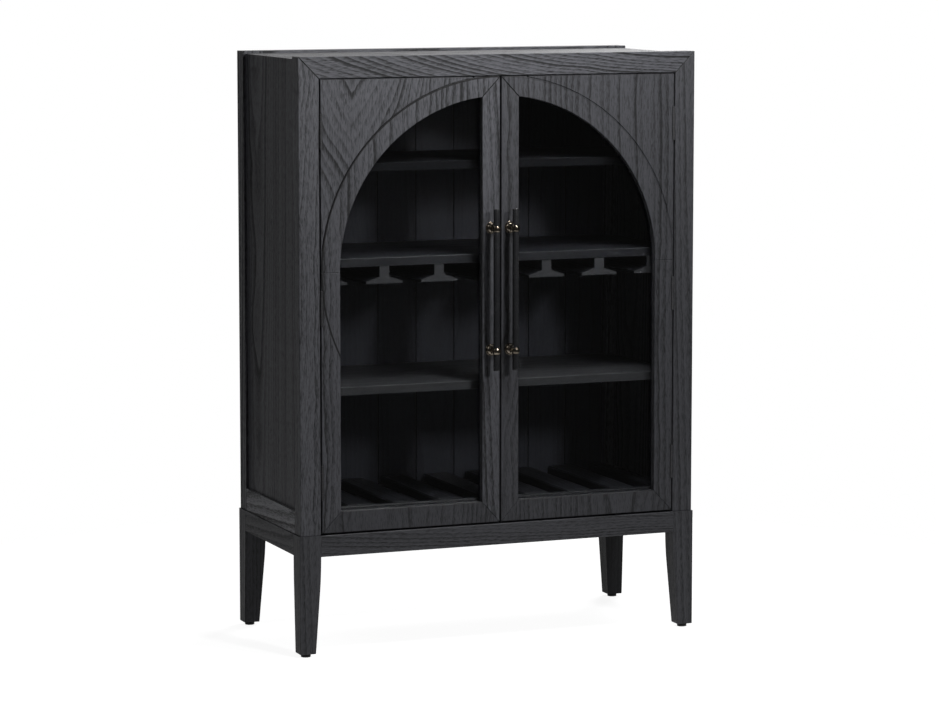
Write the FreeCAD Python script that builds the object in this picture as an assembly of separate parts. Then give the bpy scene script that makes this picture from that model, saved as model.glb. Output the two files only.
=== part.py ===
import FreeCAD, Part
import math
import os

from FreeCAD import Vector

# Two-door bar cabinet with an arched glazed front, on a tapered-leg base frame.
# Millimetres, +Z up, front towards -Y. The origin is on the floor, under the middle of the
# whole object's box, handles included.

# Overall sizes
case_width = 1000.0
case_height = 1108.0
case_depth = 442.0
base_height = 278.0
base_proud = 3.0

# Face frame, rear frame and panels
frame_face = 50.0
front_frame_depth = 42.0
rear_frame_depth = 45.0
panel_setback = 6.0
panel_thickness = 18.0
side_rail_height = 54.0
side_rail_thickness = 24.0
floor_thickness = 20.0
rear_rail_thickness = 10.0
rear_rail_height = 50.0
back_thickness = 8.0
back_board_width = 100.0
groove_width = 3.0
groove_depth = 2.0
wood_ease = 1.0

# Shelves, heights counted from the top of the base to the shelf's upper face
shelf_thickness = 20.0
shelf_front_gap = 3.0
shelf_side_gap = 1.5
shelf_back_gap = 2.0
upper_shelf_height = 859.0
stemware_shelf_height = 638.0
lower_shelf_height = 338.0
shelf_pin_radius = 2.5
shelf_pin_fit = 0.05
shelf_pin_socket = 9.0
shelf_pin_reach = 10.0
shelf_pin_tongue_width = 9.0
shelf_pin_tongue_height = 4.0
shelf_pin_inset = 60.0

# Stemware rails under the middle shelf, spread from side to side at about this pitch
stem_rail_pitch = 137.0
stem_side_gap = 20.0
stem_rail_setback = 2.0
batten_width = 24.0
batten_height = 25.0
flange_width = 90.0
flange_height = 16.0
flange_tip = 5.5

# Bottle rack on the floor of the case, with as many slats as fit
slat_pitch = 112.0
slat_width = 64.0
end_slat_least = 12.0
slat_thickness = 20.0
slat_ease = 3.0
rack_height = 40.0
rack_door_gap = 2.0
rack_rail_thickness = 18.0
rack_batten_width = 24.0
rack_side_gap = 2.0

# Doors
door_thickness = 24.0
hinge_gap = 3.0
meeting_gap = 3.0
door_top_gap = 2.0
door_bottom_gap = 4.0
door_bottom_rail = 50.0
meeting_stile_width = 45.0
hinge_stile_width = 47.0
arch_crown_rail = 45.0
spandrel_tip = 3.0
joint_line = 0.5
door_arris = 1.2
rebate_width = 9.0
rebate_depth = 8.0
glass_thickness = 4.0
glass_clearance = 1.0
stop_clearance = 0.5

# Butt hinges, their barrels in notches of the door's edge
hinges_per_door = 3
hinge_inset = 119.0
hinge_height = 78.0
knuckle_count = 5
knuckle_radius = 3.0
knuckle_offset = 2.5
knuckle_clearance = 1.0
knuckle_gap = 0.3
hinge_pin_radius = 1.6
hinge_pin_fit = 0.05
hinge_tip_radius = 2.6
hinge_tip_height = 1.5
leaf_thickness = 1.2
leaf_depth = 16.0

# Bar handles
handle_rise = 29.0
handle_length = 380.0
handle_spacing = 288.0
handle_stand = 34.0
bar_radius = 7.5
bar_end_ease = 1.0
bar_fit = 0.05
collar_radius = 10.0
collar_end_radius = 8.8
collar_height = 14.0
neck_radius = 5.0
rosette_radius = 14.0
rosette_rim = 3.0
rosette_height = 11.0

# Magnetic catches and their strike plates
catch_width = 46.0
catch_depth = 13.0
catch_height = 11.0
catch_offset = 28.0
catch_ease = 1.5
strike_thickness = 1.2
strike_height = 10.0
strike_gap = 0.4

# Base frame and floor glides
leg_width = 52.0
leg_depth = 46.0
foot_width = 38.0
foot_depth = 36.0
leg_curve_drop = 80.0
apron_height = 50.0
apron_thickness = 32.0
brace_reach = 45.0
brace_height = 36.0
glide_height = 8.0
glide_radius = 11.5
glide_neck_radius = 9.0
glide_pad_height = 6.0
glide_ease = 1.2
glide_stud_radius = 4.0
glide_stud_fit = 0.05
glide_stud_length = 18.0
glide_socket_spare = 4.0

# One overrun serves every cut
overrun = 1.0

# Levels and planes worked out from the sizes above
half_width = case_width / 2
handle_reach = handle_stand + collar_radius
overall_depth = handle_reach + case_depth + base_proud
face_y = handle_reach - overall_depth / 2
rear_y = face_y + case_depth
base_top = glide_height + base_height
apron_bottom = base_top - apron_height
case_top = base_top + case_height
panel_top = case_top - panel_setback
ceiling = panel_top - panel_thickness
floor_top = base_top + floor_thickness
front_frame_back = face_y + front_frame_depth
rear_frame_front = rear_y - rear_frame_depth
frame_inner = half_width - frame_face
panel_inner = half_width - panel_setback - panel_thickness
back_rear = rear_y - rear_rail_thickness
back_front = back_rear - back_thickness
door_outer = frame_inner - hinge_gap
door_inner = meeting_gap / 2
door_bottom = base_top + door_bottom_gap
door_top = case_top - frame_face - door_top_gap
door_back = face_y + door_thickness
door_middle = (door_bottom + door_top) / 2
arch_radius = door_outer - hinge_stile_width
spring_z = door_top - arch_crown_rail - arch_radius
opening_inner = door_inner + meeting_stile_width
opening_bottom = door_bottom + door_bottom_rail
rebate_y = door_back - rebate_depth
hinge_x = -(frame_inner - hinge_gap / 2 - knuckle_offset)
hinge_y = face_y
barrel_room = knuckle_radius + knuckle_clearance
handle_x = -(door_inner + meeting_stile_width / 2)
handle_y = face_y - handle_stand
handle_z = door_middle + handle_rise
base_half = half_width + base_proud
base_front = face_y - base_proud
base_rear = rear_y + base_proud
shelf_front = front_frame_back + shelf_front_gap
shelf_back = back_front - shelf_back_gap
foot_x = foot_width / 2 - base_half
foot_y = base_front + foot_depth / 2


def box(x0, x1, y0, y1, z0, z1):
    """A box between two corners."""
    return Part.makeBox(x1 - x0, y1 - y0, z1 - z0, Vector(x0, y0, z0))


def eased(shape, size):
    """A piece with every edge broken by a small chamfer."""
    return shape.makeChamfer(size, shape.Edges)


def prism(points, direction):
    """A solid from a flat polygon of corner points, pushed along a direction."""
    wire = Part.makePolygon(points + [points[0]])
    return Part.Face(wire).extrude(direction)


def front_prism(outline, y0, y1):
    """A solid from an outline of (x, z) corners, between two depths."""
    points = [Vector(x, y0, z) for x, z in outline]
    return prism(points, Vector(0, y1 - y0, 0))


def mirrored(shape):
    """The same piece on the other side of the middle plane."""
    return shape.mirror(Vector(0, 0, 0), Vector(1, 0, 0))


def mirrored_depth(shape):
    """The same piece mirrored front to back about the base's middle."""
    middle = (base_front + base_rear) / 2
    return shape.mirror(Vector(0, middle, 0), Vector(0, 1, 0))


def export(name, solids):
    """Write one node, as a single solid or a group of separate solids."""
    shape = solids[0] if len(solids) == 1 else Part.makeCompound(solids)
    shape.exportStep(os.path.join("parts", name + ".step"))
    print(name, len(solids), round(sum(solid.Volume for solid in solids)), shape.isValid())


# Base frame


def leg_profile(top, foot, along):
    """Outline of a leg from its outer face inwards: upright, then a curve into a straight taper.

    along turns (distance from the outer face, height) into a point.
    """
    drop = apron_bottom - glide_height
    slope = (top - foot) / (drop - leg_curve_drop / 2)
    curve_in = slope * leg_curve_drop / 2
    curve_mid_in = curve_in / 4
    outer_top = along(0, base_top)
    inner_top = along(top, base_top)
    curve_start = along(top, apron_bottom)
    curve_mid = along(top - curve_mid_in, apron_bottom - leg_curve_drop / 2)
    curve_end = along(top - curve_in, apron_bottom - leg_curve_drop)
    inner_foot = along(foot, glide_height)
    outer_foot = along(0, glide_height)
    edges = [
        Part.LineSegment(outer_top, inner_top).toShape(),
        Part.LineSegment(inner_top, curve_start).toShape(),
        Part.Arc(curve_start, curve_mid, curve_end).toShape(),
        Part.LineSegment(curve_end, inner_foot).toShape(),
        Part.LineSegment(inner_foot, outer_foot).toShape(),
        Part.LineSegment(outer_foot, outer_top).toShape(),
    ]
    return Part.Face(Part.Wire(edges))


def front_left_leg():
    """A leg tapered on its two inner sides, with a socket in its foot for the glide's stud."""
    seen_from_front = leg_profile(
        leg_width, foot_width, lambda inwards, z: Vector(inwards - base_half, base_front, z))
    seen_from_side = leg_profile(
        leg_depth, foot_depth, lambda inwards, z: Vector(-base_half, base_front + inwards, z))
    across = seen_from_front.extrude(Vector(0, leg_depth, 0))
    along = seen_from_side.extrude(Vector(leg_width, 0, 0))
    leg = across.common(along).Solids[0]
    outer_edges = [edge for edge in leg.Edges if is_outer_leg_edge(edge)]
    leg = leg.makeChamfer(wood_ease, outer_edges)
    socket_depth = glide_stud_length + glide_socket_spare
    socket_start = Vector(foot_x, foot_y, glide_height - overrun)
    socket = Part.makeCylinder(glide_stud_radius + glide_stud_fit, socket_depth + overrun, socket_start)
    return leg.cut(socket)


def is_outer_leg_edge(edge):
    """Whether an edge is the leg's outer corner or lies round its foot."""
    box_of_edge = edge.BoundBox
    at_corner = box_of_edge.XMax < wood_ease - base_half and box_of_edge.YMax < base_front + wood_ease
    at_foot = box_of_edge.ZMax < glide_height + wood_ease
    return at_corner or at_foot


def corner_brace():
    """A block glued behind the front left leg, against both aprons."""
    leg_x = leg_width - base_half
    leg_y = base_front + leg_depth
    apron_x = apron_thickness - base_half
    apron_y = base_front + apron_thickness
    z0 = base_top - brace_height
    corners = [
        (leg_x, apron_y),
        (leg_x + brace_reach, apron_y),
        (apron_x, leg_y + brace_reach),
        (apron_x, leg_y),
        (leg_x, leg_y),
    ]
    points = [Vector(x, y, z0) for x, y in corners]
    return prism(points, Vector(0, 0, brace_height))


def glide():
    """The front left levelling glide: a round pad and neck under the foot, on a stud that turns in it."""
    pad = Part.makeCylinder(glide_radius, glide_pad_height, Vector(foot_x, foot_y, 0))
    pad = pad.makeChamfer(glide_ease, [edge for edge in pad.Edges if len(edge.Vertexes) == 1])
    neck_height = glide_height - glide_pad_height
    neck = Part.makeCylinder(glide_neck_radius, neck_height, Vector(foot_x, foot_y, glide_pad_height))
    stud = Part.makeCylinder(glide_stud_radius, glide_stud_length, Vector(foot_x, foot_y, glide_height))
    return pad.fuse([neck, stud]).removeSplitter()


def four_corners(shape):
    """A front left piece and its three mirror images."""
    rear = mirrored_depth(shape)
    return [shape, mirrored(shape), rear, mirrored(rear)]


def make_base():
    """Four legs, four aprons, the corner braces and the glides."""
    corners = ["front_left", "front_right", "rear_left", "rear_right"]
    for corner, leg, foot in zip(corners, four_corners(front_left_leg()), four_corners(glide())):
        export("leg_" + corner, [leg])
        export("glide_" + corner, [foot])
    apron_x = base_half - leg_width
    front = box(-apron_x, apron_x, base_front, base_front + apron_thickness, apron_bottom, base_top)
    front = eased(front, wood_ease)
    export("apron_front", [front])
    export("apron_rear", [mirrored_depth(front)])
    left = box(-base_half, apron_thickness - base_half, base_front + leg_depth, base_rear - leg_depth,
               apron_bottom, base_top)
    left = eased(left, wood_ease)
    export("apron_left", [left])
    export("apron_right", [mirrored(left)])
    export("corner_braces", four_corners(corner_brace()))


# Case


def make_front_frame():
    """Two stiles and a top rail, mitred together at the upper corners."""
    rail_bottom = case_top - frame_face
    stile_outline = [
        (-half_width, base_top), (-frame_inner, base_top),
        (-frame_inner, rail_bottom), (-half_width, case_top),
    ]
    rail_outline = [
        (-half_width, case_top), (-frame_inner, rail_bottom),
        (frame_inner, rail_bottom), (half_width, case_top),
    ]
    stile = eased(front_prism(stile_outline, face_y, front_frame_back), wood_ease)
    rail = front_prism(rail_outline, face_y, front_frame_back)
    export("front_stile_left", [stile])
    export("front_stile_right", [mirrored(stile)])
    export("front_top_rail", [eased(rail, wood_ease)])


def make_rear_frame():
    """Two rear posts with a rail at the top and one at the bottom."""
    post = eased(box(-half_width, -frame_inner, rear_frame_front, rear_y, base_top, case_top), wood_ease)
    export("rear_post_left", [post])
    export("rear_post_right", [mirrored(post)])
    top_rail = box(-frame_inner, frame_inner, rear_frame_front, rear_y, case_top - frame_face, case_top)
    export("rear_top_rail", [eased(top_rail, wood_ease)])
    bottom_rail = box(-frame_inner, frame_inner, back_rear, rear_y, base_top, base_top + rear_rail_height)
    export("rear_bottom_rail", [eased(bottom_rail, wood_ease)])


def shelf_pin(y, z):
    """A pin in a blind socket of the left side panel, with a flat tongue under the shelf."""
    shank_x = -panel_inner - shelf_pin_socket
    shank_start = Vector(shank_x, y, z - shelf_pin_tongue_height / 2)
    shank = Part.makeCylinder(shelf_pin_radius, shelf_pin_socket, shank_start, Vector(1, 0, 0))
    tongue = box(-panel_inner, shelf_pin_reach - panel_inner,
                 y - shelf_pin_tongue_width / 2, y + shelf_pin_tongue_width / 2,
                 z - shelf_pin_tongue_height, z)
    return shank.fuse(tongue)


def pin_places():
    """Depth and height of each shelf pin on one side of the case."""
    depths = [front_frame_back + shelf_pin_inset, rear_frame_front - shelf_pin_inset]
    heights = [base_top + height - shelf_thickness for height in (lower_shelf_height, upper_shelf_height)]
    return [(y, z) for z in heights for y in depths]


def side_panel():
    """The left side panel, set back from the posts, with sockets for the shelf pins."""
    panel = box(-half_width + panel_setback, -panel_inner, front_frame_back, rear_frame_front,
                base_top + side_rail_height, panel_top)
    panel = eased(panel, wood_ease)
    for y, z in pin_places():
        start = Vector(-panel_inner - shelf_pin_socket, y, z - shelf_pin_tongue_height / 2)
        socket = Part.makeCylinder(
            shelf_pin_radius + shelf_pin_fit, shelf_pin_socket + overrun, start, Vector(1, 0, 0))
        panel = panel.cut(socket)
    return panel


def make_sides():
    """Side panels, the rails under them and the shelf pins."""
    panel = side_panel()
    export("side_panel_left", [panel])
    export("side_panel_right", [mirrored(panel)])
    rail = box(-half_width, side_rail_thickness - half_width, front_frame_back, rear_frame_front,
               base_top, base_top + side_rail_height)
    rail = eased(rail, wood_ease)
    export("side_rail_left", [rail])
    export("side_rail_right", [mirrored(rail)])
    pins = [shelf_pin(y, z) for y, z in pin_places()]
    export("shelf_pins", pins + [mirrored(pin) for pin in pins])


def back_panel():
    """The back panel, grooved on its inner face into upright boards."""
    panel = box(-frame_inner, frame_inner, back_front, back_rear, base_top, case_top - frame_face)
    board_count = round(2 * frame_inner / back_board_width)
    pitch = 2 * frame_inner / board_count
    for index in range(1, board_count):
        x = index * pitch - frame_inner
        z0 = base_top - overrun
        corners = [
            Vector(x - groove_width / 2, back_front, z0),
            Vector(x + groove_width / 2, back_front, z0),
            Vector(x, back_front + groove_depth, z0),
        ]
        panel = panel.cut(prism(corners, Vector(0, 0, case_height)))
    return panel


def make_panels():
    """Top, floor and back of the case."""
    top = box(-panel_inner, panel_inner, front_frame_back, rear_frame_front, ceiling, panel_top)
    export("top_panel", [top])
    floor_inner = half_width - side_rail_thickness
    main = box(-floor_inner, floor_inner, front_frame_back, rear_frame_front, base_top, floor_top)
    lip = box(-frame_inner, frame_inner, door_back + strike_thickness + strike_gap, front_frame_back,
              base_top, floor_top)
    tail = box(-frame_inner, frame_inner, rear_frame_front, back_front, base_top, floor_top)
    export("floor_panel", [main.fuse([lip, tail]).removeSplitter()])
    export("back_panel", [back_panel()])


# Shelves, stemware rails and bottle rack


def shelf(top_height, side_gap):
    """A shelf with its upper face at a height above the base, notched round the rear posts."""
    z0 = base_top + top_height - shelf_thickness
    half = panel_inner - side_gap
    notch = frame_inner - side_gap
    notch_y = rear_frame_front - side_gap
    outline = [
        (-half, shelf_front), (half, shelf_front), (half, notch_y), (notch, notch_y),
        (notch, shelf_back), (-notch, shelf_back), (-notch, notch_y), (-half, notch_y),
    ]
    solid = prism([Vector(x, y, z0) for x, y in outline], Vector(0, 0, shelf_thickness))
    front_edges = [edge for edge in solid.Edges if is_long_front_edge(edge, shelf_front)]
    return solid.makeChamfer(wood_ease, front_edges)


def is_long_front_edge(edge, y):
    """Whether an edge runs across the cabinet along a piece's front face."""
    box_of_edge = edge.BoundBox
    return abs(box_of_edge.YMax - y) < wood_ease and abs(box_of_edge.YMin - y) < wood_ease \
        and box_of_edge.XLength > frame_face


def rail_places():
    """Middle of each stemware rail across the cabinet."""
    reach = panel_inner - stem_side_gap - flange_width / 2
    beside_middle = round(reach / stem_rail_pitch)
    return [index * reach / beside_middle for index in range(-beside_middle, beside_middle + 1)]


def stem_flange(x, y0, y1, z0):
    """A flange under a batten, tapered to its two edges, that carries the feet of the glasses."""
    half = flange_width / 2
    neck = batten_width / 2
    outline = [
        (x - half, z0), (x + half, z0), (x + half, z0 + flange_tip), (x + neck, z0 + flange_height),
        (x - neck, z0 + flange_height), (x - half, z0 + flange_tip),
    ]
    return front_prism(outline, y0, y1)


def make_shelves():
    """Three shelves, and the T-shaped rails under the middle one."""
    export("shelf_upper", [shelf(upper_shelf_height, shelf_side_gap)])
    export("shelf_stemware", [shelf(stemware_shelf_height, 0)])
    export("shelf_lower", [shelf(lower_shelf_height, shelf_side_gap)])
    y0 = shelf_front + stem_rail_setback
    y1 = rear_frame_front - shelf_back_gap
    batten_top = base_top + stemware_shelf_height - shelf_thickness
    batten_bottom = batten_top - batten_height
    half = batten_width / 2
    battens = [box(x - half, x + half, y0, y1, batten_bottom, batten_top) for x in rail_places()]
    flanges = [stem_flange(x, y0, y1, batten_bottom - flange_height) for x in rail_places()]
    export("stem_battens", battens)
    export("stem_flanges", flanges)


def slat_spans():
    """Left and right edge of each bottle slat, the end ones narrowed to fit the case."""
    limit = frame_inner - rack_side_gap
    beside_middle = math.floor((limit + slat_width / 2 - end_slat_least) / slat_pitch)
    spans = []
    for index in range(-beside_middle, beside_middle + 1):
        x = index * slat_pitch
        left = max(x - slat_width / 2, -limit)
        right = min(x + slat_width / 2, limit)
        spans.append((left, right))
    return spans


def make_rack():
    """Bottle slats on two cross battens, behind a front rail."""
    slat_top = floor_top + rack_height
    slat_bottom = slat_top - slat_thickness
    rail_front = door_back + rack_door_gap
    slat_front = rail_front + rack_rail_thickness
    half = frame_inner - rack_side_gap
    rail = box(-half, half, rail_front, slat_front, floor_top, slat_top)
    rail = rail.makeChamfer(slat_ease, top_edges(rail, slat_top))
    batten_fronts = [slat_front, shelf_back - rack_batten_width]
    battens = [box(-half, half, y, y + rack_batten_width, floor_top, slat_bottom) for y in batten_fronts]
    export("rack_rails", [rail] + battens)
    slats = [box(left, right, slat_front, shelf_back, slat_bottom, slat_top) for left, right in slat_spans()]
    export("bottle_slats", [slat.makeChamfer(slat_ease, top_edges(slat, slat_top)) for slat in slats])


def top_edges(solid, z):
    """The edges round a solid's upper face."""
    return [edge for edge in solid.Edges if edge.BoundBox.ZMin > z - overrun]


# Doors


def arch_height(radius, x):
    """Height of a round arch about the cabinet's middle, at a place across it."""
    return spring_z + math.sqrt(radius ** 2 - x ** 2)


def opening(grow, y0, y1):
    """The left door's glazed opening, grown all round, as a solid between two depths."""
    radius = arch_radius + grow
    inner = opening_inner - grow
    bottom = opening_bottom - grow
    crown = Vector(-inner, y0, arch_height(radius, inner))
    turn = math.radians(180) - (math.radians(180) - math.acos(-inner / radius)) / 2
    middle = Vector(radius * math.cos(turn), y0, spring_z + radius * math.sin(turn))
    spring = Vector(-radius, y0, spring_z)
    corner_out = Vector(-radius, y0, bottom)
    corner_in = Vector(-inner, y0, bottom)
    edges = [
        Part.Arc(crown, middle, spring).toShape(),
        Part.LineSegment(spring, corner_out).toShape(),
        Part.LineSegment(corner_out, corner_in).toShape(),
        Part.LineSegment(corner_in, crown).toShape(),
    ]
    return Part.Face(Part.Wire(edges)).extrude(Vector(0, y1 - y0, 0))


def spandrel(grow):
    """The corner board outside the left door's arch, with blunt tips."""
    radius = door_outer + joint_line - grow
    side_x = -(radius - spandrel_tip)
    side_z = arch_height(radius, side_x)
    tip_z = door_top - spandrel_tip
    tip_x = -math.sqrt(radius ** 2 - (tip_z - spring_z) ** 2)
    turn = (math.atan2(tip_z - spring_z, tip_x) + math.atan2(side_z - spring_z, side_x)) / 2
    middle = Vector(radius * math.cos(turn), face_y, spring_z + radius * math.sin(turn))
    side = Vector(side_x, face_y, side_z)
    tip = Vector(tip_x, face_y, tip_z)
    side_out = Vector(-door_outer, face_y, side_z)
    corner = Vector(-door_outer, face_y, door_top)
    tip_up = Vector(tip_x, face_y, door_top)
    edges = [
        Part.Arc(side, middle, tip).toShape(),
        Part.LineSegment(tip, tip_up).toShape(),
        Part.LineSegment(tip_up, corner).toShape(),
        Part.LineSegment(corner, side_out).toShape(),
        Part.LineSegment(side_out, side).toShape(),
    ]
    return Part.Face(Part.Wire(edges)).extrude(Vector(0, door_thickness, 0))


def with_front_arris(solid):
    """A door member with the edges of its front face broken."""
    edges = [edge for edge in solid.Edges if edge.BoundBox.YMax < face_y + door_arris / 2]
    return solid.makeChamfer(door_arris, edges)


def door_members():
    """The left door's frame, cut from one slab along its joints.

    Returns a dict of member name to solid.
    """
    slab = box(-door_outer, -door_inner, face_y, door_back, door_bottom, door_top)
    slab = slab.cut(opening(0, face_y, door_back))
    slab = slab.cut(opening(rebate_width, rebate_y, door_back))
    crown_z = arch_height(arch_radius, opening_inner)
    middle_x = -(door_outer + opening_inner) / 2
    low = (middle_x, (opening_bottom + spring_z) / 2)
    regions = {
        "bottom_rail": [(-door_outer, door_bottom), (-door_inner, door_bottom),
                        (-opening_inner, opening_bottom), (-arch_radius, opening_bottom)],
        "hinge_stile": [(-door_outer, door_bottom), (-arch_radius, opening_bottom), low,
                        (middle_x, spring_z), (-door_outer, spring_z)],
        "meeting_stile": [(-door_inner, door_bottom), (-door_inner, door_top), (-opening_inner, crown_z),
                          low, (-opening_inner, opening_bottom)],
        "arch_band": [(-door_outer, spring_z), (middle_x, spring_z), (-opening_inner, crown_z),
                      (-door_inner, door_top), (-door_outer, door_top)],
    }
    members = {}
    for name, outline in regions.items():
        region = front_prism(outline, face_y - overrun, door_back + overrun)
        members[name] = slab.common(region).Solids[0]
    members["arch_band"] = members["arch_band"].cut(spandrel(joint_line)).Solids[0]
    members["spandrel"] = spandrel(0)
    notches = hinge_notches()
    return {name: with_front_arris(solid).cut(notches).Solids[0] for name, solid in members.items()}


def hinge_notches():
    """Notches in the left door's edge, with room round each hinge's barrel and pin tips."""
    half = hinge_height / 2 + hinge_tip_height + knuckle_clearance
    inner_x = hinge_x + barrel_room
    outer_x = -door_outer - overrun
    return [box(outer_x, inner_x, face_y - overrun, hinge_y + barrel_room, z - half, z + half)
            for z in hinge_heights()]


def glass_stops():
    """Strips that hold the left door's glass in its rebate, mitred round the opening."""
    y0 = rebate_y + glass_thickness
    ring = opening(rebate_width - stop_clearance, y0, door_back).cut(opening(0, y0, door_back))
    reach = 2 * rebate_width
    cut_z = spring_z
    level = box(-door_outer, -door_inner, y0, door_back, opening_bottom - reach, opening_bottom)
    above = box(-door_outer, -door_inner, y0, door_back, opening_bottom, cut_z)
    arch = box(-door_outer, -opening_inner, y0, door_back, cut_z, door_top)
    inner = box(-opening_inner, -door_inner, y0, door_back, opening_bottom, door_top)
    sides = ring.common(above.cut(inner)).Solids
    return ring.common(level).Solids + sides + ring.common(arch).Solids + ring.common(inner).Solids


def hinge_heights():
    """Middle height of each hinge."""
    lowest = door_bottom + hinge_inset
    highest = door_top - hinge_inset
    spacing = (highest - lowest) / (hinges_per_door - 1)
    return [lowest + index * spacing for index in range(hinges_per_door)]


def hinge_leaf(z, plate_x0, first_knuckle):
    """A leaf of a butt hinge: a plate in the gap beside the door, bent round to every other knuckle."""
    bottom = z - hinge_height / 2
    plate_x1 = plate_x0 + leaf_thickness
    plate_y = hinge_y + barrel_room
    bend_back = hinge_y + knuckle_radius
    bend_front = bend_back - leaf_thickness
    leaf = box(plate_x0, plate_x1, plate_y, plate_y + leaf_depth, bottom, bottom + hinge_height)
    length = hinge_height / knuckle_count
    for index in range(first_knuckle, knuckle_count, 2):
        z0 = bottom + index * length + knuckle_gap / 2
        z1 = z0 + length - knuckle_gap
        web = box(plate_x0, plate_x1, bend_front, plate_y, z0, z1)
        bend = box(plate_x0, hinge_x, bend_front, bend_back, z0, z1)
        knuckle = Part.makeCylinder(knuckle_radius, z1 - z0, Vector(hinge_x, hinge_y, z0))
        leaf = leaf.fuse([web, bend, knuckle])
    bore_start = Vector(hinge_x, hinge_y, bottom - overrun)
    bore = Part.makeCylinder(hinge_pin_radius + hinge_pin_fit, hinge_height + 2 * overrun, bore_start)
    return leaf.cut(bore).removeSplitter().Solids[0]


def hinge_pin(z):
    """A hinge pin with a round tip at each end."""
    bottom = z - hinge_height / 2
    top = bottom + hinge_height
    pin = Part.makeCylinder(hinge_pin_radius, hinge_height, Vector(hinge_x, hinge_y, bottom))
    top_tip = Part.makeCylinder(hinge_tip_radius, hinge_tip_height, Vector(hinge_x, hinge_y, top))
    top_tip = top_tip.makeChamfer(hinge_tip_height / 2, upper_rim(top_tip, top))
    middle = Vector(hinge_x, hinge_y, z)
    low_tip = top_tip.mirror(middle, Vector(0, 0, 1))
    return pin.fuse([top_tip, low_tip]).removeSplitter()


def upper_rim(tip, z):
    """The rim round a tip's free end."""
    return [edge for edge in tip.Edges if edge.BoundBox.ZMin > z + hinge_tip_height / 2]


def handle_bar():
    """The left handle's round bar."""
    start = Vector(handle_x, handle_y, handle_z - handle_length / 2)
    bar = Part.makeCylinder(bar_radius, handle_length, start)
    rims = [edge for edge in bar.Edges if edge.BoundBox.ZLength < bar_radius]
    return bar.makeChamfer(bar_end_ease, rims)


def handle_post(z):
    """A turned post: a domed rosette on the door, a neck, and a rounded collar round the bar."""
    rim_y = face_y - rosette_rim
    dome_y = face_y - rosette_height
    dome_mid_radius = neck_radius + (rosette_radius - neck_radius) * math.cos(math.radians(45))
    dome_mid_y = rim_y - (rosette_height - rosette_rim) * math.sin(math.radians(45))
    on_axis = Vector(handle_x, face_y, z)
    base_rim = Vector(handle_x + rosette_radius, face_y, z)
    dome_start = Vector(handle_x + rosette_radius, rim_y, z)
    dome_mid = Vector(handle_x + dome_mid_radius, dome_mid_y, z)
    dome_end = Vector(handle_x + neck_radius, dome_y, z)
    neck_end = Vector(handle_x + neck_radius, handle_y, z)
    axis_end = Vector(handle_x, handle_y, z)
    edges = [
        Part.LineSegment(on_axis, base_rim).toShape(),
        Part.LineSegment(base_rim, dome_start).toShape(),
        Part.Arc(dome_start, dome_mid, dome_end).toShape(),
        Part.LineSegment(dome_end, neck_end).toShape(),
        Part.LineSegment(neck_end, axis_end).toShape(),
        Part.LineSegment(axis_end, on_axis).toShape(),
    ]
    post = Part.Face(Part.Wire(edges)).revolve(on_axis, Vector(0, 1, 0), 360)
    return post.fuse(handle_collar(z)).cut(bar_bore(z)).removeSplitter().Solids[0]


def handle_collar(z):
    """The barrel-shaped collar at a post's outer end, still solid."""
    half = collar_height / 2
    low = Vector(handle_x, handle_y, z - half)
    low_rim = Vector(handle_x + collar_end_radius, handle_y, z - half)
    waist = Vector(handle_x + collar_radius, handle_y, z)
    high_rim = Vector(handle_x + collar_end_radius, handle_y, z + half)
    high = Vector(handle_x, handle_y, z + half)
    edges = [
        Part.LineSegment(low, low_rim).toShape(),
        Part.Arc(low_rim, waist, high_rim).toShape(),
        Part.LineSegment(high_rim, high).toShape(),
        Part.LineSegment(high, low).toShape(),
    ]
    return Part.Face(Part.Wire(edges)).revolve(low, Vector(0, 0, 1), 360)


def bar_bore(z):
    """The hole through a collar for the bar."""
    length = collar_height + 2 * overrun
    return Part.makeCylinder(bar_radius + bar_fit, length, Vector(handle_x, handle_y, z - length / 2))


def catch_place():
    """Left and right edge of the left door's catch."""
    return -(catch_offset + catch_width), -catch_offset


def make_doors():
    """Both doors with their glass, hinges, handles and catches."""
    nodes = {"door_{side}_" + name: [solid] for name, solid in door_members().items()}
    pane = opening(rebate_width - glass_clearance, rebate_y, rebate_y + glass_thickness)
    nodes["door_{side}_glass"] = [pane]
    nodes["door_{side}_glass_stops"] = glass_stops()
    frame_leaf_x = -frame_inner
    door_leaf_x = -door_outer - leaf_thickness
    frame_leaves = [hinge_leaf(z, frame_leaf_x, 0) for z in hinge_heights()]
    pins = [hinge_pin(z) for z in hinge_heights()]
    nodes["hinge_{side}_door_leaves"] = [hinge_leaf(z, door_leaf_x, 1) for z in hinge_heights()]
    nodes["handle_{side}_bar"] = [handle_bar()]
    post_heights = [handle_z - handle_spacing / 2, handle_z + handle_spacing / 2]
    nodes["handle_{side}_posts"] = [handle_post(z) for z in post_heights]
    left, right = catch_place()
    strike = box(left, right, door_back, door_back + strike_thickness, door_top - strike_height, door_top)
    nodes["strike_plate_{side}"] = [strike]
    for name, solids in nodes.items():
        export(name.format(side="left"), solids)
        export(name.format(side="right"), [mirrored(solid) for solid in solids])
    export("hinge_frame_leaves", frame_leaves + [mirrored(leaf) for leaf in frame_leaves])
    export("hinge_pins", pins + [mirrored(pin) for pin in pins])
    catch_y = door_back + strike_thickness + strike_gap
    catch_z = case_top - frame_face
    catch = box(left, right, catch_y, catch_y + catch_depth, catch_z - catch_height, catch_z)
    catch = eased(catch, catch_ease)
    export("magnetic_catches", [catch, mirrored(catch)])


os.makedirs("parts", exist_ok=True)
make_base()
make_front_frame()
make_rear_frame()
make_sides()
make_panels()
make_shelves()
make_rack()
make_doors()
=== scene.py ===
"""Looks of the glazed bar cabinet: finishes for its solids, turned hardware, studio light and camera."""

import logging
import math
from collections.abc import Iterable, Mapping, Sequence
from dataclasses import dataclass, replace
from enum import Enum
from typing import Any, Union

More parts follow.
